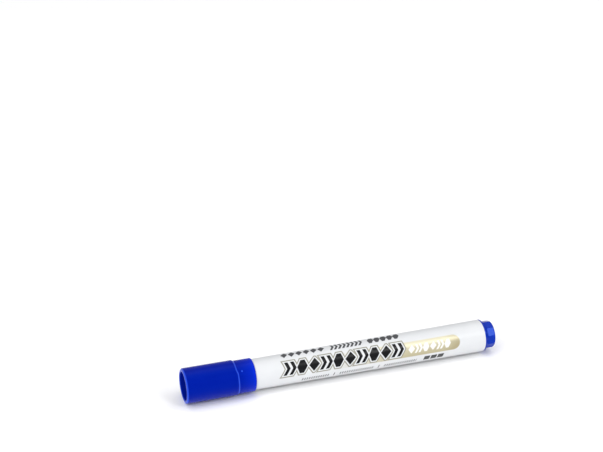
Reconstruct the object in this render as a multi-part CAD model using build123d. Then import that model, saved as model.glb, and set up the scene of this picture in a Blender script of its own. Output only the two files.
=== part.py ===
from build123d import *
import math
import os

# A capped whiteboard marker lying along X, with its cap at -X and its rear plug at +X.
# All sizes are in millimetres. A station is a distance along the marker from the cap's open end.
# An angle round the marker starts at the top, +Z, and grows towards the front, -Y.

# Overall sizes
overall_length = 148.5
cap_radius = 8.0
cap_length = 31.85
barrel_front_radius = 6.93
barrel_rear_radius = 7.47
barrel_rear = 142.9

# Cap: a wide section, a sloping ledge, and a narrower mouth that slides over the nib holder's neck
cap_mouth_radius = 7.54
cap_ledge = 22.9
cap_ledge_slope = 0.9
cap_ledge_step = 0.45
cap_ledge_jog_angle = 41.0
cap_ledge_jog_width = 1.8
cap_bore_radius = 6.75
cap_rim_round = 0.9
socket_radius = 6.5
socket_depth = 8.0
socket_lead_in = 0.3
web_thickness = 1.3
dot_station = 25.8
dot_angle = 41.0
dot_radius = 0.45
dot_height = 0.15

# Sealing liner inside the cap
liner_floor = 1.0
liner_base_length = 3.0
liner_skirt_radius = 5.7
liner_skirt_bore = 4.9
liner_end = 23.0

# Nib holder
nib_radius = 2.3
holder_front = 14.8
nose_radius = 3.3
nose_end = 17.9
collar_radius = 4.85
collar_start = 20.2
neck_radius = 6.65
neck_start = 24.6
shoulder_gap = 0.15
spigot_radius = 6.15
spigot_length = 10.5
holder_wall = 1.1
vent_count = 4
vent_width = 0.6
vent_depth = 0.45
neck_groove_depth = 0.25
neck_groove_width = 0.9
neck_groove_stations = (27.0, 29.0)

# Nib
nib_tip = 11.8
nib_back = 48.0
nib_tip_radius = 0.9
nib_cone_length = 1.9
nib_back_chamfer = 0.8

# Ink reservoir
reservoir_front = 43.5
reservoir_rear = 132.6
fibre_radius = 5.55
film_thickness = 0.15

# Barrel
barrel_front = cap_length + shoulder_gap
barrel_wall = 1.1
barrel_edge_round = 0.25
plug_seat_radius = 6.5
plug_seat_length = 10.0
rib_count = 6
rib_width = 0.8

# Rear plug
flange_thickness = 0.6
waist_station = 144.4
waist_radius = 5.95
post_radius = 6.4
post_start = 144.9
post_end_round = 0.8
post_flats = 10
post_flat_angle = 15.0
plug_bore_radius = 5.1
plug_end_wall = 1.4
plug_front = barrel_rear - plug_seat_length
reservoir_stop_chamfer = 0.5

axis_height = cap_radius
film_radius = fibre_radius + film_thickness


def turned(*outline):
    """A solid turned about the marker's axis, from (station, radius) or (station, radius, rounding)."""
    profile = make_face(Polyline(*[point[:2] for point in outline], close=True))
    for point in outline:
        if len(point) == 3:
            corner = profile.vertices().sort_by_distance((point[0], point[1], 0))[0]
            profile = fillet(corner, point[2])
    return revolve(profile, Axis.X)


def around(angle):
    """Turns a feature made at the top of the marker to an angle round it."""
    return Rot(X=angle)


def cap():
    web_end = socket_depth + web_thickness
    ledge_foot = cap_ledge + cap_ledge_slope
    body = turned(
        (0, socket_radius + socket_lead_in),
        (0, cap_radius, cap_rim_round),
        (cap_ledge, cap_radius),
        (ledge_foot, cap_mouth_radius),
        (cap_length, cap_mouth_radius, 0.3),
        (cap_length, cap_bore_radius + 0.2),
        (cap_length - 0.4, cap_bore_radius),
        (web_end, cap_bore_radius),
        (web_end, 0),
        (socket_depth, 0),
        (socket_depth, socket_radius),
        (socket_lead_in, socket_radius),
    )
    # On one half of the cap the ledge stands a step nearer the mouth, with a slanted jog at both ends.
    step_ring = turned(
        (cap_ledge, cap_radius),
        (cap_ledge + cap_ledge_step, cap_radius),
        (ledge_foot + cap_ledge_step, cap_mouth_radius),
        (ledge_foot, cap_mouth_radius),
    )
    near = cap_ledge - 0.1
    far = ledge_foot + cap_ledge_step + 0.1
    jog = cap_ledge_jog_width / 2
    half = make_face(Polyline((near, -jog), (far, jog), (far, 2 * cap_radius), (near, 2 * cap_radius), close=True))
    # The half's own Y points towards growing angles, which is -Y at the top of the marker.
    half = extrude(mirror(half, Plane.XZ), 2 * cap_radius, both=True)
    body += step_ring & (around(cap_ledge_jog_angle) * half)
    dot = Pos(dot_station, 0, cap_mouth_radius) * Cylinder(dot_radius, 2 * dot_height)
    body += around(dot_angle) * dot
    return body


def inner_cap():
    base = socket_depth + web_thickness
    floor_top = base + liner_floor
    base_end = base + liner_base_length
    return turned(
        (base, 0),
        (base, cap_bore_radius),
        (base_end, cap_bore_radius),
        (base_end + 0.6, liner_skirt_radius),
        (liner_end, liner_skirt_radius, 0.2),
        (liner_end, liner_skirt_bore + 0.2),
        (liner_end - 0.5, liner_skirt_bore),
        (floor_top, liner_skirt_bore, 0.5),
        (floor_top, 0),
    )


def nib_holder():
    spigot_end = barrel_front + spigot_length
    spigot_bore = spigot_radius - holder_wall
    inner_web = neck_start + holder_wall
    body = turned(
        (holder_front, nib_radius),
        (holder_front, nose_radius, 0.4),
        (nose_end, nose_radius),
        (collar_start, collar_radius),
        (neck_start, collar_radius),
        (neck_start, neck_radius, 0.4),
        (barrel_front, neck_radius),
        (barrel_front, spigot_radius),
        (spigot_end, spigot_radius, 0.3),
        (spigot_end, spigot_bore),
        (inner_web + 8, spigot_bore),
        (inner_web + 8, nib_radius),
    )
    for station in neck_groove_stations:
        body -= turned(
            (station, neck_radius - neck_groove_depth),
            (station, cap_radius),
            (station + neck_groove_width, cap_radius),
            (station + neck_groove_width, neck_radius - neck_groove_depth),
        )
    # Air channels along the nib let the marker breathe as the ink leaves it.
    vent_length = spigot_end - holder_front
    vent = Pos(holder_front + vent_length / 2, 0, nib_radius) * Box(vent_length, vent_width, 2 * vent_depth)
    for index in range(vent_count):
        body -= around(index * 360 / vent_count) * vent
    return body


def nib():
    cone_start = nib_tip + nib_cone_length
    return turned(
        (nib_tip, 0),
        (nib_tip, nib_tip_radius, 0.6),
        (cone_start, nib_radius, 1.2),
        (nib_back - nib_back_chamfer, nib_radius),
        (nib_back, nib_radius - nib_back_chamfer),
        (nib_back, 0),
    )


def reservoir_fibre():
    return turned(
        (reservoir_front, nib_radius),
        (reservoir_front, fibre_radius),
        (reservoir_rear, fibre_radius),
        (reservoir_rear, 0),
        (nib_back, 0),
        (nib_back, nib_radius - nib_back_chamfer),
        (nib_back - nib_back_chamfer, nib_radius),
    )


def reservoir_film():
    return turned(
        (reservoir_front, fibre_radius),
        (reservoir_front, film_radius),
        (reservoir_rear, film_radius),
        (reservoir_rear, fibre_radius),
    )


def barrel():
    front_bore = barrel_front_radius - barrel_wall
    rear_bore = barrel_rear_radius - barrel_wall
    holder_seat_end = barrel_front + spigot_length
    body = turned(
        (barrel_front, spigot_radius),
        (barrel_front, barrel_front_radius, barrel_edge_round),
        (barrel_rear, barrel_rear_radius),
        (barrel_rear, plug_seat_radius),
        (plug_front, plug_seat_radius),
        (plug_front, rear_bore),
        (holder_seat_end, front_bore),
        (holder_seat_end, spigot_radius),
    )
    # Ribs along the bore centre the reservoir and leave air passages beside it.
    rib_length = reservoir_rear - reservoir_front
    rib_height = plug_seat_radius - film_radius
    rib = Pos(reservoir_front + rib_length / 2, 0, film_radius + rib_height / 2)
    rib *= Box(rib_length, rib_width, rib_height)
    reservoir_space = turned(
        (reservoir_front, 0), (reservoir_front, film_radius), (reservoir_rear, film_radius), (reservoir_rear, 0)
    )
    for index in range(rib_count):
        body += around(index * 360 / rib_count) * rib
    return body - reservoir_space


def rear_plug():
    flange_end = barrel_rear + flange_thickness
    bore_end = overall_length - plug_end_wall
    body = turned(
        (plug_front, plug_bore_radius + reservoir_stop_chamfer),
        (plug_front, plug_seat_radius, 0.3),
        (barrel_rear, plug_seat_radius),
        (barrel_rear, barrel_rear_radius),
        (flange_end, barrel_rear_radius, 0.2),
        (waist_station, waist_radius, 0.4),
        (post_start, post_radius),
        (overall_length, post_radius, post_end_round),
        (overall_length, 0),
        (bore_end, 0),
        (bore_end, plug_bore_radius, 0.6),
        (plug_front + reservoir_stop_chamfer, plug_bore_radius),
    )
    # Shallow flats round the post, with its full radius left at the corners between them.
    flat_length = overall_length - waist_station
    flat_distance = post_radius * math.cos(math.pi / post_flats)
    cutter = Pos(waist_station + flat_length / 2, 0, flat_distance + post_radius / 2)
    cutter *= Box(flat_length, 2 * post_radius, post_radius)
    for index in range(post_flats):
        body -= around(post_flat_angle + index * 360 / post_flats) * cutter
    return body


makers = (cap, inner_cap, barrel, nib_holder, nib, reservoir_fibre, reservoir_film, rear_plug)
place = Pos(-overall_length / 2, 0, axis_height)

os.makedirs("parts", exist_ok=True)
for maker in makers:
    export_step(place * maker(), f"parts/{maker.__name__}.step")
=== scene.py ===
"""Builds the looks of a capped whiteboard marker round its CAD frame.

Everything is in metres in the frame's own axes. The marker lies along X with its cap at -X, its print
faces -Y and it rests on the floor at z = 0. A station is a distance along the marker from the cap's open
end. An angle round the marker starts at the top and grows towards the front, -Y.
"""

import math

import bmesh
import bpy
from bpy.props import FloatProperty, FloatVectorProperty, IntProperty, PointerProperty
from mathutils import Matrix, Vector


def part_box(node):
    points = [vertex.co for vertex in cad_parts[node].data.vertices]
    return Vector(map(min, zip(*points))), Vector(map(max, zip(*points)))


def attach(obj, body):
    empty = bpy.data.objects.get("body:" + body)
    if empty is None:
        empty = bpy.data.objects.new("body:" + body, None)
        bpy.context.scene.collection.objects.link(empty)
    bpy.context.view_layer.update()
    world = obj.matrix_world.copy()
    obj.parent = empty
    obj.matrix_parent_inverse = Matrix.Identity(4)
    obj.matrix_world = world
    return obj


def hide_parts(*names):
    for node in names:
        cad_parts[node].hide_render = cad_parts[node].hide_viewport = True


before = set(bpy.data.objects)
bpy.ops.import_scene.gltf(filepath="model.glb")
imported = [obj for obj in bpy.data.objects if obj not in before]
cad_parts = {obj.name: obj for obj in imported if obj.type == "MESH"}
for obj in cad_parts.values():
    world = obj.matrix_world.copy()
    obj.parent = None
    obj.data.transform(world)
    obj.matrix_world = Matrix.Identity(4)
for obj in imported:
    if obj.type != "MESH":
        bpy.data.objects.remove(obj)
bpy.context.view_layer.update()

bl_info = {
    "name": "Whiteboard Marker",
    "version": (1, 0, 0),
    "blender": (4, 5, 0),
    "location": "3D View > Sidebar > Marker",
    "description": "Builds a capped whiteboard marker round its CAD frame",
    "category": "Add Mesh",
}

MM = 0.001
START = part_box("cap")[0].x  # The cap's open end, where the stations start
AXIS_HEIGHT = (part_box("cap")[0].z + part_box("cap")[1].z) / 2


def ends(node):
    """The stations of a CAD node's two ends."""
    low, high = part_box(node)
    return low.x - START, high.x - START


def radius(node):
    """The largest radius of a CAD node about the marker's axis."""
    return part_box(node)[1].z - AXIS_HEIGHT


CAP_END = ends("cap")[1]
CAP_RADIUS = AXIS_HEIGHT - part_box("cap")[0].z
LINER_START = ends("inner_cap")[0]
CAP_BORE = radius("inner_cap")
BARREL_FRONT, BARREL_REAR = ends("barrel")
BARREL_REAR_RADIUS = radius("barrel")
HOLDER_FRONT, HOLDER_REAR = ends("nib_holder")
PLUG_FRONT, PLUG_END = ends("rear_plug")
NIB_TIP, NIB_BACK = ends("nib")
NIB_RADIUS = radius("nib")
FILM_RADIUS = radius("reservoir_film")
FILM_FRONT, FILM_REAR = ends("reservoir_film")


# Settings that a user would change


def length(name, description, millimetres):
    size = millimetres * MM
    return FloatProperty(name=name, description=description, default=size, unit="LENGTH", precision=5)


def angle(name, description, degrees):
    turn = math.radians(degrees)
    return FloatProperty(name=name, description=description, default=turn, subtype="ANGLE")


def colour(name, description, value):
    return FloatVectorProperty(
        name=name, description=description, default=value, subtype="COLOR", size=3, min=0.0, max=1.0
    )


def amount(name, description, value):
    return FloatProperty(
        name=name, description=description, default=value, subtype="FACTOR", min=0.0, max=1.0
    )


def number(name, description, value, least=1):
    return IntProperty(name=name, description=description, default=value, min=least)


class CapSettings(bpy.types.PropertyGroup):
    mouth_radius: length("Mouth radius", "Outside radius of the section next to the barrel", 7.54)
    ledge: length("Ledge station", "Where the wide section ends", 22.9)
    ledge_slope: length("Ledge slope", "Length of the sloping ledge", 0.9)
    step: length("Ledge step", "How much nearer the mouth the ledge is on one half", 0.45)
    step_angle: angle("Step angle", "Angle round the cap where the stepped half starts", 41.0)
    jog_width: length("Jog width", "Width of the slanted jog in the ledge", 1.8)
    rim_round: length("Rim rounding", "Rounding of the outer edge of the open end", 0.9)
    socket_radius: length("Socket radius", "Radius of the socket in the open end", 6.5)
    socket_depth: length("Socket depth", "Depth of the socket in the open end", 8.0)
    dot_station: length("Dot station", "Station of the small moulded dot", 25.8)
    dot_angle: angle("Dot angle", "Angle of the small moulded dot", 41.0)
    dot_radius: length("Dot radius", "Radius of the small moulded dot", 0.45)
    dot_height: length("Dot height", "How far the moulded dot stands out", 0.15)
    colour: colour("Cap colour", "Colour of the cap's plastic", (0.0005, 0.0085, 0.25))
    # Painted highlight colour that the ledge, the dot on it and the rounded rim take
    edge_colour: colour("Edge colour", "Colour where light gathers in the cap's edges", (0.02, 0.07, 0.60))
    # Lighter blue of the painted glow towards the thin mouth; the random patches also lean towards it
    mouth_colour: colour("Mouth colour", "Colour of the cap's thin mouth", (0.003, 0.020, 0.50))


class BarrelSettings(bpy.types.PropertyGroup):
    front_radius: length("Front radius", "Outside radius next to the cap", 6.93)
    wall: length("Wall", "Thickness of the barrel's wall", 1.1)
    front_seat_radius: length("Front seat radius", "Bore radius that holds the nib holder", 6.15)
    rear_seat_radius: length("Rear seat radius", "Bore radius that holds the rear plug", 6.5)
    rib_count: number("Ribs", "Ribs along the bore that centre the reservoir", 6)
    rib_width: length("Rib width", "Thickness of a rib", 0.8)
    colour: colour("Barrel colour", "Colour of the barrel's plastic", (0.58, 0.592, 0.61))


class PrintSettings(bpy.types.PropertyGroup):
    start: length("Ornaments start", "Station where the row of black ornaments starts", 45.0)
    pitch: length("Pitch", "Distance from one black ornament to the next", 5.72)
    count: number("Ornaments", "How many black ornaments stand in the row", 10)
    height: length("Height", "Height of the black ornaments round the barrel", 6.1)
    band_angle: angle("Band angle", "Angle of the middle of the black row", 59.7)
    slant: amount("Slant", "How far the ornaments lean for each unit of height", 0.2)
    badge_start: length("Badge start", "Station where the badge starts to show", 58.0)
    badge_end: length("Badge end", "Station of the badge's rounded end", 129.9)
    badge_height: length("Badge height", "Height of the badge round the barrel", 7.0)
    badge_angle: angle("Badge angle", "Angle of the middle of the badge", 65.7)
    white_height: length("White height", "Height of the white ornaments on the badge", 3.9)
    top_angle: angle("Top angle", "Angle of the grey row above the band", -1.0)
    low_angle: angle("Low angle", "Angle of the pale row below the band", 116.0)
    black: colour("Black ink", "Colour of the black ornaments", (0.005, 0.005, 0.006))
    outline: colour("Outline ink", "Colour of the thin line round the ornaments", (0.25, 0.245, 0.205))
    white: colour("White", "Colour of the ornaments on the badge", (0.74, 0.74, 0.72))
    badge_light: colour("Badge light", "Colour of the badge's top", (0.60, 0.565, 0.42))
    badge_dark: colour("Badge dark", "Colour of the badge's foot and end", (0.37, 0.325, 0.20))
    grey: colour("Grey ink", "Colour of the row above the band", (0.02, 0.02, 0.025))
    pale: colour("Pale ink", "Colour of the fine row below the band", (0.07, 0.07, 0.075))


class PlugSettings(bpy.types.PropertyGroup):
    flange: length("Flange", "Thickness of the flange on the barrel's end", 0.6)
    waist: length("Waist station", "Station of the narrow waist behind the flange", 144.4)
    waist_radius: length("Waist radius", "Radius of the waist", 5.95)
    post_start: length("Post start", "Station where the post reaches its full radius", 144.9)
    post_radius: length("Post radius", "Radius of the post across its corners", 6.4)
    end_round: length("End rounding", "Rounding of the post's end", 0.8)
    flats: number("Flats", "Shallow flats round the post", 10, 3)
    flat_angle: angle("Flat angle", "Angle of the middle of the first flat", 15.0)
    seat_radius: length("Seat radius", "Radius of the spigot in the barrel", 6.5)
    bore_radius: length("Bore radius", "Radius of the hollow inside the plug", 5.1)
    end_wall: length("End wall", "Thickness of the post's end", 1.4)
    colour: colour("Plug colour", "Colour of the plug's plastic", (0.0015, 0.020, 0.30))


class TipSettings(bpy.types.PropertyGroup):
    tip_radius: length("Tip radius", "Radius of the nib's blunt tip", 0.9)
    cone: length("Cone length", "Length of the nib's tapered end", 1.9)
    back_chamfer: length("Back chamfer", "Chamfer on the nib's inner end", 0.8)
    fibre: colour("Nib colour", "Colour of the inked nib", (0.006, 0.02, 0.20))
    holder: colour("Holder colour", "Colour of the nib holder's plastic", (0.74, 0.745, 0.755))
    liner: colour("Liner colour", "Colour of the sealing liner", (0.66, 0.67, 0.66))


class StageSettings(bpy.types.PropertyGroup):
    azimuth: angle("Azimuth", "Camera azimuth, 0 looking along +Y", -18.337)
    elevation: angle("Elevation", "Camera elevation above the horizon", 25.766)
    distance: length("Distance", "Camera distance to the middle of the marker", 683.32)
    aside: length("Aside", "How far the camera is moved to its right", -18.16)
    raised: length("Raised", "How far the camera is moved up in its own view", 60.62)
    lens: FloatProperty(
        name="Lens", description="Focal length in millimetres", default=89.552, unit="CAMERA"
    )
    floor: colour("Floor colour", "Colour of the pale floor", (0.955, 0.955, 0.96))


class MarkerSettings(bpy.types.PropertyGroup):
    cap: PointerProperty(type=CapSettings)
    barrel: PointerProperty(type=BarrelSettings)
    ink: PointerProperty(type=PrintSettings)
    plug: PointerProperty(type=PlugSettings)
    tip: PointerProperty(type=TipSettings)
    stage: PointerProperty(type=StageSettings)


# Node trees


class Socket:
    """A number socket of a node tree. Arithmetic on it adds Math nodes to the tree."""

    def __init__(self, tree, socket):
        self.tree = tree
        self.socket = socket

    def __add__(self, other):
        return self.tree.math("ADD", self, other)

    def __radd__(self, other):
        return self.tree.math("ADD", other, self)

    def __sub__(self, other):
        return self.tree.math("SUBTRACT", self, other)

    def __rsub__(self, other):
        return self.tree.math("SUBTRACT", other, self)

    def __mul__(self, other):
        return self.tree.math("MULTIPLY", self, other)

    def __rmul__(self, other):
        return self.tree.math("MULTIPLY", other, self)

    def __truediv__(self, other):
        return self.tree.math("DIVIDE", self, other)

    def __rtruediv__(self, other):
        return self.tree.math("DIVIDE", other, self)

    def __mod__(self, other):
        return self.tree.math("FLOORED_MODULO", self, other)

    def __neg__(self):
        return self.tree.math("MULTIPLY", self, -1.0)

    def __abs__(self):
        return self.tree.math("ABSOLUTE", self)

    def floor(self):
        return self.tree.math("FLOOR", self)

    def least(self, other):
        return self.tree.math("MINIMUM", self, other)

    def most(self, other):
        return self.tree.math("MAXIMUM", self, other)

    def sine(self):
        return self.tree.math("SINE", self)

    def cosine(self):
        return self.tree.math("COSINE", self)

    def root(self):
        return self.tree.math("SQRT", self)

    def clamped(self):
        return self.tree.math("ADD", self, 0.0, clamp=True)

    def ramp(self, low, high, first=0.0, last=1.0):
        """Goes smoothly from first at low to last at high, and stays level outside them."""
        settings = {"interpolation_type": "SMOOTHSTEP"}
        values = {"Value": self, "From Min": low, "From Max": high, "To Min": first, "To Max": last}
        return self.tree.add("ShaderNodeMapRange", settings, values)["Result"]


class Node:
    """A node whose outputs are read by name or number."""

    def __init__(self, tree, node):
        self.tree = tree
        self.node = node

    def __getitem__(self, key):
        return Socket(self.tree, self.node.outputs[key])


class Tree:
    """A shader or geometry tree that is filled by expressions."""

    def __init__(self, tree):
        self.tree = tree

    def add(self, kind, settings=None, values=None):
        """Adds a node, sets its settings first, and then gives its sockets their values or links."""
        node = self.tree.nodes.new(kind)
        for name, value in (settings or {}).items():
            setattr(node, name, value)
        for key, value in (values or {}).items():
            if isinstance(value, Socket):
                self.tree.links.new(value.socket, node.inputs[key])
            else:
                node.inputs[key].default_value = value
        return Node(self, node)

    def math(self, operation, *values, clamp=False):
        settings = {"operation": operation, "use_clamp": clamp}
        return self.add("ShaderNodeMath", settings, dict(enumerate(values)))[0]

    def mix(self, factor, first, second):
        """Mixes two colours."""
        values = {0: factor, 6: opaque(first), 7: opaque(second)}
        return self.add("ShaderNodeMix", {"data_type": "RGBA"}, values)[2]

    def vector(self, operation, *values):
        return self.add("ShaderNodeVectorMath", {"operation": operation}, dict(enumerate(values)))["Vector"]

    def point(self):
        """The piece's own Object coordinates, in metres."""
        return self.add("ShaderNodeTexCoord")["Object"]

    def split(self, vector):
        node = self.add("ShaderNodeSeparateXYZ", {}, {"Vector": vector})
        return node["X"], node["Y"], node["Z"]

    def noise(self, vector, scale, detail=2.0, roughness=0.5, stretch=(1.0, 1.0, 1.0)):
        """Noise from 0 to 1, with its cells stretched along an axis where stretch is below 1."""
        if stretch != (1.0, 1.0, 1.0):
            vector = self.vector("MULTIPLY", vector, stretch)
        values = {"Vector": vector, "Scale": scale, "Detail": detail, "Roughness": roughness}
        return self.add("ShaderNodeTexNoise", {}, values)["Fac"]

    def combine(self, **parts):
        return self.add("ShaderNodeCombineXYZ", {}, parts)["Vector"]

    def change(self, kind, shape, **values):
        """Passes a geometry through one more node of that kind."""
        return self.add("GeometryNode" + kind, {}, {"Geometry": shape, **values})["Geometry"]

    def bump(self, height, distance, strength=1.0, under=None):
        values = {"Height": height, "Distance": distance, "Strength": strength}
        if under is not None:
            values["Normal"] = under
        return self.add("ShaderNodeBump", {}, values)["Normal"]


def opaque(value):
    return value if isinstance(value, Socket) else (*value, 1.0)


def finish_of(name, constants, paint):
    """A material: paint(tree) returns what changes over the surface, and constants hold the rest."""
    material = bpy.data.materials.new(name)
    material.use_nodes = True
    material.node_tree.nodes.clear()
    tree = Tree(material.node_tree)
    shader = tree.add("ShaderNodeBsdfPrincipled", {}, {**constants, **paint(tree)})
    tree.add("ShaderNodeOutputMaterial", {}, {"Surface": shader["BSDF"]})
    return material


# Coordinates on the marker, in millimetres, for the materials


def station_of(tree, point):
    x, _, _ = tree.split(point)
    return (x - START) / MM


def angle_of(tree, point):
    """The angle round the marker in radians, 0 at the top and growing towards the front."""
    _, y, z = tree.split(point)
    return tree.math("ARCTAN2", -y, z - AXIS_HEIGHT)


def reach_of(tree, point):
    """The distance from the marker's axis."""
    _, y, z = tree.split(point)
    z = z - AXIS_HEIGHT
    return (y * y + z * z).root() / MM


# Finishes

PEEL_DEPTH = 0.00002
INK_DEPTH = 0.00001
FIBRE_DEPTH = 0.00006
WRINKLE_DEPTH = 0.00004
PLASTIC_IOR = 1.49


def moulded_skin(tree, point, peel=1.0):
    """A moulded surface's normal, with faint orange peel and drag marks, then its patches and marks."""
    peel_height = tree.noise(point, 900.0, 2.0)
    marks = tree.noise(point, 2600.0, 1.0, 0.5, (0.06, 1.0, 1.0))
    patches = tree.noise(point, 130.0, 3.0, 0.6)
    normal = tree.bump(peel_height * 0.7 + marks * 0.3, PEEL_DEPTH * peel, 0.6)
    return normal, patches, marks


def hairlines(tree, point):
    """Thin random scratches: narrow bands of stretched noise."""
    first = abs(tree.noise(point, 520.0, 1.0, 0.5, (0.05, 1.0, 1.0)) - 0.5)
    second = abs(tree.noise(point, 416.0, 1.0, 0.5, (1.0, 0.07, 0.5)) - 0.42)
    patches = tree.noise(point, 45.0, 1.0).ramp(0.5, 0.7)
    return first.least(second).ramp(0.0, 0.008, 1.0, 0.0) * patches


def cap_finish(settings):
    """The cap's plastic, with a painted glow that makes it lighter towards its thin mouth, and painted
    highlights that make its ledge, dot and rim lightest.
    """
    cap_radius, cap_end = CAP_RADIUS / MM, CAP_END / MM
    mouth, socket = settings.mouth_radius / MM, settings.socket_radius / MM
    lip = 2.5

    def paint(tree):
        point = tree.point()
        normal, patches, marks = moulded_skin(tree, point)
        station = station_of(tree, point)
        reach = reach_of(tree, point)
        # Painted glow: the base colour turns lighter over the mouth section and its lip, standing in for
        # light shining through the thin wall
        glow_towards_mouth = station.ramp(settings.ledge / MM, cap_end) * 0.55
        thin = glow_towards_mouth + station.ramp(cap_end - lip, cap_end) * 0.35
        tone = tree.mix(thin, settings.colour, settings.mouth_colour)
        tone = tree.mix(patches * 0.12, tone, settings.mouth_colour)
        # Painted highlights: the ledge, the dot standing on it and the rounded rim turn a lighter blue,
        # standing in for light caught in these edges
        ledge = reach.ramp(mouth + 0.03, mouth + 0.1)
        ledge = ledge * reach.ramp(cap_radius - 0.1, cap_radius - 0.02, 1.0, 0.0)
        rim = station.ramp(0.0, settings.rim_round / MM, 1.0, 0.0)
        rim = rim * reach.ramp(socket - 0.02, socket + 0.1)
        edges = (ledge.most(rim) * (0.75 + patches * 0.25)).clamped()
        tone = tree.mix(edges, tone, settings.edge_colour)
        roughness = 0.17 + patches * 0.09 + marks * 0.04
        return {"Base Color": tone, "Roughness": roughness, "Normal": normal}

    constants = {"IOR": PLASTIC_IOR, "Specular IOR Level": 0.2, "Specular Tint": (0.0, 0.15, 1.0, 1.0)}
    return finish_of("cap_plastic", constants, paint)


def plug_finish(settings):
    def paint(tree):
        point = tree.point()
        normal, patches, marks = moulded_skin(tree, point, 0.8)
        tone = tree.mix(patches * 0.25, settings.colour, (0.006, 0.045, 0.55))
        roughness = 0.15 + patches * 0.08 + marks * 0.04
        return {"Base Color": tone, "Roughness": roughness, "Normal": normal}

    constants = {"IOR": PLASTIC_IOR, "Specular IOR Level": 0.28, "Specular Tint": (0.2, 0.36, 1.0, 1.0)}
    return finish_of("plug_plastic", constants, paint)


# The print, with every length in millimetres

CHEVRONS, LOZENGE, DIAMOND = range(3)
WHITE_COUNT = 6
OUTLINE_OUTSIDE = 1.05
OUTLINE_INSIDE = 0.52
TOP_ROWS = (  # Kind, start, end, pitch and half height of each part of the grey row
    (DIAMOND, 45.0, 66.0, 3.5, 2.0),
    (CHEVRONS, 68.5, 84.1, 3.9, 2.1),
    (LOZENGE, 86.5, 102.0, 3.1, 2.0),
)
LOW_TICKS = ((53.0, 66.0), (71.0, 87.5), (92.5, 108.5))  # Start and end of each run of fine ticks
LOW_BARS = (68.5, 90.0)
STAMPS_START, STAMPS_END, STAMPS_RAISED = 111.8, 122.0, 0.35


def coverage(distance, soft=0.06):
    """How far ink covers a place, from its signed distance to the ink's edge in millimetres."""
    return distance.ramp(-soft, soft, 1.0, 0.0)


def slab(value, middle, half):
    """Signed distance to a band of that half width."""
    return abs(value - middle) - half


def rounded_slab(across, along, half_across, half_along, corner):
    """Signed distance to a rectangle with rounded corners, right outside and at its edge."""
    over_across = (abs(across) - (half_across - corner)).most(0.0)
    over_along = (abs(along) - (half_along - corner)).most(0.0)
    return (over_across * over_across + over_along * over_along).root() - corner


def joined(distances):
    """The union of several shapes."""
    union = distances[0]
    for distance in distances[1:]:
        union = union.least(distance)
    return union


def ornament(kind, across, up, half):
    """Signed distance to an ornament of that half height."""
    if kind == CHEVRONS:
        fold = across + abs(up) * 0.5 - half * 0.25
        shape = slab(abs(fold), half * 0.46, half * 0.27) * 0.9
    elif kind == LOZENGE:
        shape = (abs(across) + abs(up) * 0.5 - half * 0.82) * 0.9
    else:
        shape = (abs(across) * 1.2 + abs(up) - half) * 0.64
    return shape.most(slab(up, 0.0, half))


def ornament_row(along, up, start, pitch, count, half, first=CHEVRONS):
    """Signed distance to a row of ornaments of all three kinds in turn."""
    shapes = []
    for index in range(count):
        middle = start + (index + 0.5) * pitch
        shapes.append(ornament((index + first) % 3, along - middle, up, half))
    return joined(shapes)


def run(along, start, end):
    """Signed distance to a stretch of the marker's length."""
    return slab(along, (start + end) / 2, (end - start) / 2)


def repeated(kind, along, up, start, end, pitch, half):
    """Signed distance to a row of small ornaments of one kind."""
    across = (along - start) % pitch - pitch / 2
    return ornament(kind, across, up, half).most(run(along, start, end))


def ticks(along, up, start, end, pitch, width, height):
    """Signed distance to a row of upright ticks."""
    row = run(along, start, end).most(slab(up, 0.0, height / 2))
    return slab((along - start) % pitch, pitch / 2, width / 2).most(row)


def badge(tree, point, station, up, ink, plastic):
    """The plastic's colour with the badge over it, and how much of it is foil."""
    half = ink.badge_height / MM / 2
    start, end = ink.badge_start / MM, ink.badge_end / MM
    fade, end_shade = 46.0, 8.0
    shape = rounded_slab(up, station - (start + end) / 2, half, (end - start) / 2, half)
    foil = coverage(shape, 0.15) * station.ramp(start, start + fade)
    sheen = tree.noise(point, 60.0, 2.0, 0.5, (0.3, 1.0, 1.0))
    foot = up.ramp(-half, half, 1.0, 0.0) * 0.75
    shade = foot + station.ramp(end - end_shade, end) * 0.4 + (sheen - 0.5) * 0.4
    gold = tree.mix(shade.clamped(), ink.badge_light, ink.badge_dark)
    return tree.mix(foil, plastic, gold), foil


def white_row(along, up, ink):
    """How far the white ornaments cover the badge, from the black row's end to the badge's end."""
    start = (ink.start + ink.pitch * ink.count) / MM + 2.0
    pitch = (ink.badge_end / MM - 4.4 - start) / WHITE_COUNT
    half = ink.white_height / MM / 2
    return coverage(ornament_row(along, up, start, pitch, WHITE_COUNT, half, DIAMOND))


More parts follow.
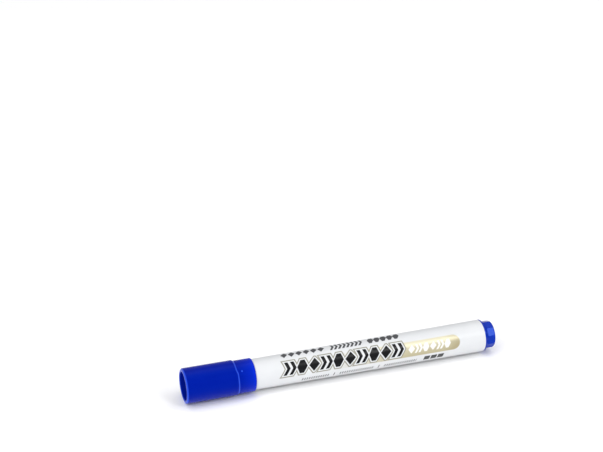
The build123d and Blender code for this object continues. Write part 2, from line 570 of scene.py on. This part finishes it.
def printed_barrel(tree, point, front_radius, ink, plastic):
    """The barrel's colour, and how much of it is dark ink and how much is the badge's foil."""
    arc = (front_radius + BARREL_REAR_RADIUS) / 2 / MM
    station = station_of(tree, point)
    turn = angle_of(tree, point)

    def row_at(middle_angle):
        """The slanted distance along the row with that middle, and the distance up from its middle."""
        up = (middle_angle - turn) * arc
        return station - up * ink.slant, up

    along, up = row_at(ink.badge_angle)
    tone, foil = badge(tree, point, station, up, ink, plastic)
    white = white_row(along, up, ink)
    tone = tree.mix(white * 0.9, tone, ink.white)

    along, up = row_at(ink.band_angle)
    half = ink.height / MM / 2
    blacks = ornament_row(along, up, ink.start / MM, ink.pitch / MM, ink.count, half)
    halo = coverage(blacks - OUTLINE_OUTSIDE)
    black = coverage(blacks)
    tone = tree.mix(halo, tone, ink.outline)
    tone = tree.mix(coverage(blacks - OUTLINE_INSIDE), tone, plastic)
    tone = tree.mix(black, tone, ink.black)
    foil = foil * (1.0 - halo) * (1.0 - white)

    along, up = row_at(ink.top_angle)
    top = [repeated(kind, along, up, *sizes) for kind, *sizes in TOP_ROWS]
    top = coverage(joined(top))
    tone = tree.mix(top * 0.92, tone, ink.grey)

    along, up = row_at(ink.low_angle)
    words = [ticks(along, up, start, end, 1.1, 0.55, 1.7) for start, end in LOW_TICKS]
    bars = [slab(along, middle, 0.25).most(slab(up, 0.0, 1.1)) for middle in LOW_BARS]
    low = coverage(joined(words + bars))
    tone = tree.mix(low * 0.85, tone, ink.pale)
    stamps = ticks(along, up - STAMPS_RAISED, STAMPS_START, STAMPS_END, 3.4, 2.9, 2.6)
    stamp = coverage(stamps)
    tone = tree.mix(stamp * 0.9, tone, ink.black)

    dark = black.most(top).most(low).most(stamp)
    return tone, dark, foil


def barrel_finish(settings, ink):
    def paint(tree):
        point = tree.point()
        normal, patches, marks = moulded_skin(tree, point, 0.9)
        scratches = hairlines(tree, point)
        plastic = tree.mix(patches * 0.5, settings.colour, (0.66, 0.67, 0.68))
        plastic = tree.mix(scratches * 0.10, plastic, (0.55, 0.55, 0.56))
        tone, dark, foil = printed_barrel(tree, point, settings.front_radius, ink, plastic)
        worn = 0.25 + patches * 0.09 + marks * 0.04 + scratches * 0.10
        roughness = worn - dark * 0.05 + foil * 0.05
        raised = tree.bump(dark.most(foil), INK_DEPTH, 0.5, normal)
        return {"Base Color": tone, "Roughness": roughness, "Metallic": foil * 0.25, "Normal": raised}

    constants = {"IOR": PLASTIC_IOR, "Specular IOR Level": 0.18}
    return finish_of("barrel_plastic", constants, paint)


def holder_finish(settings):
    def paint(tree):
        point = tree.point()
        normal, patches, marks = moulded_skin(tree, point)
        station = station_of(tree, point)
        stain_noise = tree.noise(point, 380.0, 3.0, 0.6)
        front, stained = HOLDER_FRONT / MM, 2.2
        stain = station.ramp(front, front + stained, 1.0, 0.0)
        stain = (stain * 1.3 + stain_noise - 0.95).ramp(0.0, 0.35)
        tone = tree.mix(patches * 0.3, settings.holder, (0.80, 0.80, 0.81))
        tone = tree.mix(stain * 0.8, tone, settings.fibre)
        roughness = 0.38 + patches * 0.12 + marks * 0.05
        return {"Base Color": tone, "Roughness": roughness, "Normal": normal}

    return finish_of("holder_plastic", {"IOR": PLASTIC_IOR}, paint)


def liner_finish(settings):
    def paint(tree):
        point = tree.point()
        normal, patches, marks = moulded_skin(tree, point, 1.4)
        tone = tree.mix(patches * 0.5, settings.liner, (0.74, 0.75, 0.75))
        return {"Base Color": tone, "Roughness": 0.42 + patches * 0.15 + marks * 0.05, "Normal": normal}

    constants = {"IOR": 1.5, "Subsurface Weight": 0.15, "Subsurface Scale": 0.001}
    return finish_of("liner_plastic", constants, paint)


def fibre_finish(name, base, strand):
    """Bundled fibres that run along the marker."""

    def paint(tree):
        point = tree.point()
        strands = tree.noise(point, 9000.0, 2.0, 0.6, (0.03, 1.0, 1.0))
        mottle = tree.noise(point, 900.0, 3.0, 0.6)
        tone = tree.mix(strands.ramp(0.35, 0.7) * 0.7 + mottle * 0.3, base, strand)
        normal = tree.bump(strands * 0.7 + mottle * 0.3, FIBRE_DEPTH, 0.9)
        return {"Base Color": tone, "Roughness": 0.72 + mottle * 0.2, "Normal": normal}

    return finish_of(name, {"IOR": 1.4, "Sheen Weight": 0.2, "Sheen Roughness": 0.4}, paint)


def film_finish():
    def paint(tree):
        point = tree.point()
        wrinkles = tree.noise(point, 300.0, 3.0, 0.6, (0.2, 1.0, 1.0))
        normal = tree.bump(wrinkles, WRINKLE_DEPTH, 0.8)
        tone = tree.mix(wrinkles, (0.55, 0.63, 0.78), (0.75, 0.80, 0.88))
        return {"Base Color": tone, "Roughness": 0.12 + wrinkles * 0.1, "Normal": normal}

    return finish_of("reservoir_film", {"IOR": 1.5, "Coat Weight": 0.3}, paint)


# Shapes

HOLD = 0.00015  # How far a holding point stands from a rounding
LONGEST_REACH = 0.8  # The share of an edge that a rounding may take up
MERGE_DISTANCE = 0.0000005
FLAT_SOFTENING = 0.00012


def arc_points(before, corner, after, rounding, steps):
    """Points of the arc that rounds a corner of an outline, from before's side to after's side."""
    towards, onwards = before - corner, after - corner
    spread = towards.angle(onwards)
    reach = rounding / math.tan(spread / 2)
    longest = LONGEST_REACH * min(towards.length, onwards.length)
    if reach > longest:
        rounding *= longest / reach
        reach = longest
    towards.normalize()
    onwards.normalize()
    middle = corner + (towards + onwards).normalized() * rounding / math.sin(spread / 2)
    first = corner + towards * reach - middle
    last = corner + onwards * reach - middle
    whole = first.angle(last)
    points = []
    for step in range(steps + 1):
        share = step / steps
        turned = first * math.sin((1 - share) * whole) + last * math.sin(share * whole)
        points.append(middle + turned / math.sin(whole))
    return points


def holding_point(start, far):
    """A point a little way from the end of a rounding, or none where the run to far is short."""
    run_length = far - start
    return [start + run_length.normalized() * HOLD] if run_length.length > 3 * HOLD else []


def rounded_outline(corners, closed, steps=4):
    """An outline in station and radius with its corners rounded, and holding points beside each rounding.

    A corner is (station, radius, rounding). Holding points keep the long straight runs evenly shaded.
    """
    places = [Vector((station, reach)) for station, reach, _ in corners]
    count = len(places)
    outline = []
    for index, (place, (_, _, rounding)) in enumerate(zip(places, corners)):
        at_end = not closed and index in (0, count - 1)
        if at_end or rounding == 0:
            outline.append(place)
            continue
        before, after = places[index - 1], places[(index + 1) % count]
        arc = arc_points(before, place, after, rounding, steps)
        outline += holding_point(arc[0], before) + arc + holding_point(arc[-1], after)
    if closed:
        outline.append(outline[0])
    return outline


def new_group(name, whole_numbers, numbers):
    """A geometry tree with named inputs: a geometry, whole numbers, numbers and a material."""
    group = bpy.data.node_groups.new(name, "GeometryNodeTree")
    kinds = [("Geometry", "Geometry")] + [("Int", key) for key in whole_numbers]
    kinds += [("Float", key) for key in numbers] + [("Material", "Material")]
    for kind, key in kinds:
        group.interface.new_socket(name=key, in_out="INPUT", socket_type="NodeSocket" + kind)
    group.interface.new_socket(name="Geometry", in_out="OUTPUT", socket_type="NodeSocketGeometry")
    tree = Tree(group)
    return group, tree, tree.add("NodeGroupInput")


def finished_group(tree, group, shape, material):
    """Ends a geometry tree, with its copies made real and its material set."""
    whole = tree.change("RealizeInstances", shape)
    tree.add("NodeGroupOutput", {}, {"Geometry": tree.change("SetMaterial", whole, Material=material)})
    return group


def turned_shell_group():
    """Turns an outline about the marker's axis, with a step in one half and flats round it if asked for.

    The outline's points hold two shares: step_share says how far a point follows the step, and flat_share
    how far it is cut back to the flats.
    """
    whole_numbers = ("Outline Points", "Segments", "Flats")
    numbers = ("Start", "Axis Height", "Step", "Step Angle", "Jog Angle", "Flat Distance", "Flat Angle")
    group, tree, given = new_group("turned_shell", whole_numbers, numbers)
    ring = given["Segments"] + 1
    grid = tree.add("GeometryNodeMeshGrid", {}, {"Vertices X": given["Outline Points"], "Vertices Y": ring})
    index = tree.add("GeometryNodeInputIndex")[0]
    place = (index / ring).floor()
    turn = (index - place * ring) * math.tau / given["Segments"]

    def sampled(data_type, value):
        settings = {"data_type": data_type, "domain": "POINT"}
        values = {"Geometry": given["Geometry"], "Value": value, "Index": place}
        return tree.add("GeometryNodeSampleIndex", settings, values)["Value"]

    def named(name):
        node = tree.add("GeometryNodeInputNamedAttribute", {"data_type": "FLOAT"}, {"Name": name})
        return sampled("FLOAT", node["Attribute"])

    station, _, reach = tree.split(sampled("FLOAT_VECTOR", tree.add("GeometryNodeInputPosition")[0]))
    stepped = ((turn - given["Step Angle"]).sine() / given["Jog Angle"] + 0.5).clamped()
    station = station + named("step_share") * given["Step"] * stepped
    width = math.tau / given["Flats"]
    off_middle = (turn - given["Flat Angle"] + width / 2) % width - width / 2
    cut = tree.math("SMOOTH_MIN", reach, given["Flat Distance"] / off_middle.cosine(), FLAT_SOFTENING)
    reach = reach + (cut - reach) * named("flat_share")
    position = tree.combine(
        X=station + given["Start"],
        Y=-(reach * turn.sine()),
        Z=reach * turn.cosine() + given["Axis Height"],
    )
    shape = tree.change("SetPosition", grid["Mesh"], Position=position)
    shape = tree.change("MergeByDistance", shape, Distance=MERGE_DISTANCE)
    shape = tree.change("SetShadeSmooth", shape, **{"Shade Smooth": True})
    return finished_group(tree, group, shape, given["Material"])


def ribs_group():
    """Straight ribs spaced evenly round the inside of a tube."""
    numbers = ("Length", "Width", "Height", "Inner Radius", "Middle", "Axis Height")
    group, tree, given = new_group("bore_ribs", ("Count",), numbers)
    size = tree.combine(X=given["Length"], Y=given["Width"], Z=given["Height"])
    bar = tree.add("GeometryNodeMeshCube", {}, {"Size": size})["Mesh"]
    lift = tree.combine(Z=given["Inner Radius"] + given["Height"] / 2)
    lifted = tree.change("Transform", bar, Translation=lift)
    points = tree.add("GeometryNodePoints", {}, {"Count": given["Count"]})[0]
    turn = tree.add("GeometryNodeInputIndex")[0] * math.tau / given["Count"]
    values = {"Points": points, "Instance": lifted, "Rotation": tree.combine(X=turn)}
    copies = tree.add("GeometryNodeInstanceOnPoints", {}, values)["Instances"]
    place = tree.combine(X=given["Middle"], Z=given["Axis Height"])
    moved = tree.change("Transform", copies, Translation=place)
    return finished_group(tree, group, moved, given["Material"])


def placed(name, data):
    """A new object at the origin that holds that mesh, camera or lamp."""
    thing = bpy.data.objects.new(name, data)
    bpy.context.scene.collection.objects.link(thing)
    return thing


def grown(name, seed_mesh, group, inputs):
    """The plain mesh that a geometry tree makes from a seed mesh, as a new object at the origin."""
    piece = placed(name, seed_mesh)
    modifier = piece.modifiers.new("grow", "NODES")
    modifier.node_group = group
    sockets = {item.name: item for item in group.interface.items_tree if item.in_out == "INPUT"}
    for key, value in inputs.items():
        modifier[sockets[key].identifier] = value
    bpy.context.view_layer.update()
    depsgraph = bpy.context.evaluated_depsgraph_get()
    mesh = bpy.data.meshes.new_from_object(piece.evaluated_get(depsgraph))
    piece.modifiers.remove(modifier)
    piece.data = mesh
    mesh.name = name
    bpy.data.meshes.remove(seed_mesh)
    if not mesh.polygons:
        raise RuntimeError(f"{name} came out with no faces")
    return piece


def face_outwards(piece):
    shape = bmesh.new()
    shape.from_mesh(piece.data)
    bmesh.ops.recalc_face_normals(shape, faces=shape.faces)
    if shape.calc_volume(signed=True) < 0:
        bmesh.ops.reverse_faces(shape, faces=shape.faces)
    shape.to_mesh(piece.data)
    shape.free()


def turned_piece(name, outline, material, segments, step_share=None, flat_share=None, extra=None):
    """A piece turned from an outline of station and radius. The shares are functions of both."""
    seed = bpy.data.meshes.new(name + "_outline")
    seed.from_pydata([(place.x, 0.0, place.y) for place in outline], [], [])
    for label, share in (("step_share", step_share), ("flat_share", flat_share)):
        values = [share(place.x, place.y) if share else 0.0 for place in outline]
        seed.attributes.new(label, "FLOAT", "POINT").data.foreach_set("value", values)
    inputs = {
        "Outline Points": len(outline),
        "Segments": segments,
        "Flats": 10,
        "Start": START,
        "Axis Height": AXIS_HEIGHT,
        "Step": 0.0,
        "Step Angle": 0.0,
        "Jog Angle": 1.0,
        "Flat Distance": 1.0,
        "Flat Angle": 0.0,
        "Material": material,
        **(extra or {}),
    }
    group = bpy.data.node_groups.get("turned_shell") or turned_shell_group()
    piece = grown(name, seed, group, inputs)
    face_outwards(piece)
    return piece


def settle(piece, body, slot, *nodes):
    """Gives a finished piece its body and hides the CAD nodes that it stands for. The slot is not used."""
    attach(piece, body)
    if nodes:
        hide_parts(*nodes)


def dress_node(name, material):
    """Gives a CAD node that keeps its own mesh a better material."""
    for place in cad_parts[name].material_slots:
        place.material = material


# Pieces


def build_cap(settings):
    foot = settings.ledge + settings.ledge_slope
    socket_chamfer, mouth_chamfer, margin = 0.0003, 0.0004, 0.0004
    corners = [
        (settings.socket_depth, 0.0, 0.0),
        (settings.socket_depth, settings.socket_radius, 0.0004),
        (socket_chamfer, settings.socket_radius, 0.0001),
        (0.0, settings.socket_radius + socket_chamfer, 0.0001),
        (0.0, CAP_RADIUS, settings.rim_round),
        (settings.ledge, CAP_RADIUS, 0.0001),
        (foot, settings.mouth_radius, 0.0001),
        (CAP_END, settings.mouth_radius, 0.0003),
        (CAP_END, CAP_BORE + 0.0002, 0.00008),
        (CAP_END - mouth_chamfer, CAP_BORE, 0.0001),
        (LINER_START, CAP_BORE, 0.0003),
        (LINER_START, 0.0, 0.0),
    ]
    outline = rounded_outline(corners, closed=False, steps=5)

    def on_ledge(station, reach):
        near = settings.ledge - margin < station < foot + margin
        return 1.0 if near and reach > CAP_BORE + margin else 0.0

    extra = {
        "Step": settings.step,
        "Step Angle": settings.step_angle,
        "Jog Angle": settings.jog_width / CAP_RADIUS,
    }
    finish = cap_finish(settings)
    cap = turned_piece("cap_shell", outline, finish, 256, on_ledge, extra=extra)
    settle(cap, "cap", "cap_plastic", "cap")
    settle(moulded_dot(settings, finish), "cap", "cap_plastic")


def moulded_dot(settings, finish):
    """The small raised dot on the cap's mouth section, as a low dome with a foot sunk in the cap."""
    rings, around = 6, 24
    tilts = [ring / rings * math.pi / 2 for ring in range(1, rings + 1)]
    levels = [(settings.dot_radius * math.sin(t), settings.dot_height * math.cos(t)) for t in tilts]
    levels.append((settings.dot_radius, -settings.dot_height))
    turns = [step / around * math.tau for step in range(around)]
    shape = bmesh.new()
    top = shape.verts.new((0.0, 0.0, settings.dot_height))
    rows = []
    for reach, lift in levels:
        rows.append([shape.verts.new((reach * math.cos(t), reach * math.sin(t), lift)) for t in turns])
    for step in range(around):
        after = (step + 1) % around
        shape.faces.new((top, rows[0][step], rows[0][after]))
        for upper, lower in zip(rows, rows[1:]):
            shape.faces.new((upper[step], lower[step], lower[after], upper[after]))
    shape.faces.new(reversed(rows[-1]))
    for face in shape.faces:
        face.smooth = True
    lift = Matrix.Translation((START + settings.dot_station, 0.0, settings.mouth_radius))
    turn = Matrix.Rotation(settings.dot_angle, 4, "X")
    shape.transform(Matrix.Translation((0.0, 0.0, AXIS_HEIGHT)) @ turn @ lift)
    mesh = bpy.data.meshes.new("cap_mould_dot")
    shape.to_mesh(mesh)
    shape.free()
    mesh.materials.append(finish)
    dot = placed("cap_mould_dot", mesh)
    face_outwards(dot)
    return dot


def build_barrel(settings, ink):
    front_bore = settings.front_radius - settings.wall
    rear_bore = BARREL_REAR_RADIUS - settings.wall
    middle = (BARREL_FRONT + BARREL_REAR) / 2
    middle_radius = (settings.front_radius + BARREL_REAR_RADIUS) / 2
    corners = [
        (BARREL_FRONT, settings.front_seat_radius, 0.00008),
        (BARREL_FRONT, settings.front_radius, 0.00025),
        (middle, middle_radius, 0.0),
        (BARREL_REAR, BARREL_REAR_RADIUS, 0.00012),
        (BARREL_REAR, settings.rear_seat_radius, 0.00008),
        (PLUG_FRONT, settings.rear_seat_radius, 0.00008),
        (PLUG_FRONT, rear_bore, 0.00005),
        (HOLDER_REAR, front_bore, 0.00005),
        (HOLDER_REAR, settings.front_seat_radius, 0.00005),
    ]
    outline = rounded_outline(corners, closed=True)
    finish = barrel_finish(settings, ink)
    barrel = turned_piece("barrel_tube", outline, finish, 256)
    settle(barrel, "barrel", "barrel_plastic", "barrel")

    inputs = {
        "Count": settings.rib_count,
        "Length": FILM_REAR - FILM_FRONT,
        "Width": settings.rib_width,
        "Height": (front_bore + rear_bore) / 2 - FILM_RADIUS,
        "Inner Radius": FILM_RADIUS,
        "Middle": START + (FILM_FRONT + FILM_REAR) / 2,
        "Axis Height": AXIS_HEIGHT,
        "Material": finish,
    }
    ribs = grown("barrel_ribs", bpy.data.meshes.new("ribs_seed"), ribs_group(), inputs)
    face_outwards(ribs)
    settle(ribs, "barrel", "barrel_plastic")


def build_plug(settings):
    flange_end = BARREL_REAR + settings.flange
    bore_end = PLUG_END - settings.end_wall
    corners = [
        (PLUG_END, 0.0, 0.0),
        (PLUG_END, settings.post_radius, settings.end_round),
        (settings.post_start, settings.post_radius, 0.0002),
        (settings.waist, settings.waist_radius, 0.0004),
        (flange_end, BARREL_REAR_RADIUS, 0.0002),
        (BARREL_REAR, BARREL_REAR_RADIUS, 0.00005),
        (BARREL_REAR, settings.seat_radius, 0.00003),
        (PLUG_FRONT, settings.seat_radius, 0.0003),
        (PLUG_FRONT, settings.bore_radius, 0.0003),
        (bore_end, settings.bore_radius, 0.0006),
        (bore_end, 0.0, 0.0),
    ]
    outline = rounded_outline(corners, closed=False, steps=6)
    flat_distance = settings.post_radius * math.cos(math.pi / settings.flats)

    def on_post(station, reach):
        return 1.0 if station > settings.waist and reach > settings.bore_radius + 0.0002 else 0.0

    extra = {"Flats": settings.flats, "Flat Distance": flat_distance, "Flat Angle": settings.flat_angle}
    plug = turned_piece("rear_plug_moulding", outline, plug_finish(settings), 240, None, on_post, extra)
    settle(plug, "barrel", "plug_plastic", "rear_plug")


def build_tip(settings):
    cone_end = NIB_TIP + settings.cone
    corners = [
        (NIB_TIP, 0.0, 0.0),
        (NIB_TIP, settings.tip_radius, 0.0006),
        (cone_end, NIB_RADIUS, 0.0012),
        (NIB_BACK - settings.back_chamfer, NIB_RADIUS, 0.0002),
        (NIB_BACK, NIB_RADIUS - settings.back_chamfer, 0.0002),
        (NIB_BACK, 0.0, 0.0),
    ]
    outline = rounded_outline(corners, closed=False, steps=8)
    finish = fibre_finish("nib_fibre", settings.fibre, (0.03, 0.09, 0.48))
    nib = turned_piece("nib_bullet", outline, finish, 96)
    settle(nib, "barrel", "nib_fibre", "nib")
    dress_node("nib_holder", holder_finish(settings))
    dress_node("inner_cap", liner_finish(settings))
    dress_node("reservoir_fibre", fibre_finish("ink_reservoir", (0.015, 0.05, 0.36), (0.06, 0.14, 0.6)))
    dress_node("reservoir_film", film_finish())


# Stage

FLOOR_REACH = 20.0
WORLD_STRENGTH = 0.38
LIGHTS = (  # Name, azimuth and elevation in degrees, distance, size and power
    ("left_light", -68.0, 40.0, 2.6, (2.0, 1.5), 24.0),
    ("right_light", 75.0, 40.0, 2.6, (1.5, 1.2), 14.0),
    ("overhead_light", 180.0, 85.0, 2.6, (3.0, 2.4), 32.0),
    ("front_light", -20.0, 9.0, 2.4, (2.0, 0.6), 24.0),
    ("facet_light", 33.0, 41.0, 2.4, (0.4, 0.5), 12.0),
)


def build_stage(settings):
    bpy.context.scene.view_settings.view_transform = "Standard"
    add_floor(settings)
    add_world()
    add_camera(settings)
    for light in LIGHTS:
        add_light(*light)


def direction(azimuth, elevation):
    """The unit vector from the marker towards a camera or lamp, both angles in radians."""
    return Vector(
        (
            math.sin(azimuth) * math.cos(elevation),
            -math.cos(azimuth) * math.cos(elevation),
            math.sin(elevation),
        )
    )


def add_floor(settings):
    def paint(tree):
        point = tree.point()
        clouds = tree.noise(point, 3.0, 2.0)
        grain = tree.noise(point, 600.0, 2.0)
        tone = tree.mix(clouds * 0.3, settings.floor, (0.975, 0.975, 0.975))
        return {"Base Color": tone, "Roughness": 0.5 + grain * 0.1}

    reach = FLOOR_REACH
    mesh = bpy.data.meshes.new("floor")
    corners = [(-reach, -reach, 0), (reach, -reach, 0), (reach, reach, 0), (-reach, reach, 0)]
    mesh.from_pydata(corners, [], [(0, 1, 2, 3)])
    mesh.materials.append(finish_of("pale_floor", {"IOR": 1.4}, paint))
    placed("floor", mesh)


def add_world():
    world = bpy.data.worlds.new("studio")
    world.use_nodes = True
    world.node_tree.nodes.clear()
    tree = Tree(world.node_tree)
    sky = tree.add("ShaderNodeBackground", {}, {"Color": (1.0, 1.0, 1.0, 1.0), "Strength": WORLD_STRENGTH})
    tree.add("ShaderNodeOutputWorld", {}, {"Surface": sky["Background"]})
    bpy.context.scene.world = world


def add_camera(settings):
    middle = Vector((START + PLUG_END / 2, 0.0, AXIS_HEIGHT))
    back = direction(settings.azimuth, settings.elevation)
    right = Vector((math.cos(settings.azimuth), math.sin(settings.azimuth), 0.0))
    up = back.cross(right)
    data = bpy.data.cameras.new("camera")
    data.sensor_width = 36.0
    data.lens = settings.lens
    data.clip_start = 0.01
    data.clip_end = 20.0
    camera = placed("camera", data)
    camera.location = middle + back * settings.distance + right * settings.aside + up * settings.raised
    camera.rotation_mode = "QUATERNION"
    camera.rotation_quaternion = (-back).to_track_quat("-Z", "Y")
    bpy.context.scene.camera = camera


def add_light(name, azimuth, elevation, distance, size, power):
    """A soft rectangular lamp that faces the marker. Angles are in degrees."""
    away = direction(math.radians(azimuth), math.radians(elevation))
    data = bpy.data.lights.new(name, "AREA")
    data.shape = "RECTANGLE"
    data.size, data.size_y = size
    data.energy = power
    lamp = placed(name, data)
    lamp.location = away * distance
    lamp.rotation_mode = "QUATERNION"
    lamp.rotation_quaternion = (-away).to_track_quat("-Z", "Y")


# Operators


class MARKER_OT_stage(bpy.types.Operator):
    """Adds the floor, the lights and the camera"""

    bl_idname = "marker.stage"
    bl_label = "Stage"

    def execute(self, context):
        build_stage(context.scene.marker.stage)
        return {"FINISHED"}


class MARKER_OT_cap(bpy.types.Operator):
    """Builds the cap with its stepped ledge and moulded dot"""

    bl_idname = "marker.cap"
    bl_label = "Cap"

    def execute(self, context):
        build_cap(context.scene.marker.cap)
        return {"FINISHED"}


class MARKER_OT_barrel(bpy.types.Operator):
    """Builds the printed barrel with the ribs in its bore"""

    bl_idname = "marker.barrel"
    bl_label = "Barrel"

    def execute(self, context):
        build_barrel(context.scene.marker.barrel, context.scene.marker.ink)
        return {"FINISHED"}


class MARKER_OT_plug(bpy.types.Operator):
    """Builds the rear plug with the flats on its post"""

    bl_idname = "marker.plug"
    bl_label = "Rear Plug"

    def execute(self, context):
        build_plug(context.scene.marker.plug)
        return {"FINISHED"}


class MARKER_OT_tip(bpy.types.Operator):
    """Builds the nib and finishes the nib holder, the liner and the ink reservoir"""

    bl_idname = "marker.tip"
    bl_label = "Nib and Inner Parts"

    def execute(self, context):
        build_tip(context.scene.marker.tip)
        return {"FINISHED"}


class MARKER_PT_panel(bpy.types.Panel):
    """Lists the marker's pieces in the 3D view's sidebar"""

    bl_idname = "MARKER_PT_panel"
    bl_label = "Whiteboard Marker"
    bl_space_type = "VIEW_3D"
    bl_region_type = "UI"
    bl_category = "Marker"

    def draw(self, context):
        for operator in OPERATORS:
            self.layout.operator(operator.bl_idname)
        for name in ("cap", "barrel", "ink", "plug", "tip", "stage"):
            box = self.layout.box()
            group = getattr(context.scene.marker, name)
            for key in group.__annotations__:
                box.prop(group, key)


OPERATORS = (MARKER_OT_stage, MARKER_OT_cap, MARKER_OT_barrel, MARKER_OT_plug, MARKER_OT_tip)
CLASSES = (
    CapSettings,
    BarrelSettings,
    PrintSettings,
    PlugSettings,
    TipSettings,
    StageSettings,
    MarkerSettings,
    *OPERATORS,
    MARKER_PT_panel,
)


def register():
    for item in CLASSES:
        bpy.utils.register_class(item)
    bpy.types.Scene.marker = PointerProperty(type=MarkerSettings)


def unregister():
    del bpy.types.Scene.marker
    for item in reversed(CLASSES):
        bpy.utils.unregister_class(item)


def main():
    register()
    bpy.ops.marker.stage()
    bpy.ops.marker.cap()
    bpy.ops.marker.barrel()
    bpy.ops.marker.plug()
    bpy.ops.marker.tip()


if __name__ == "__main__":
    main()
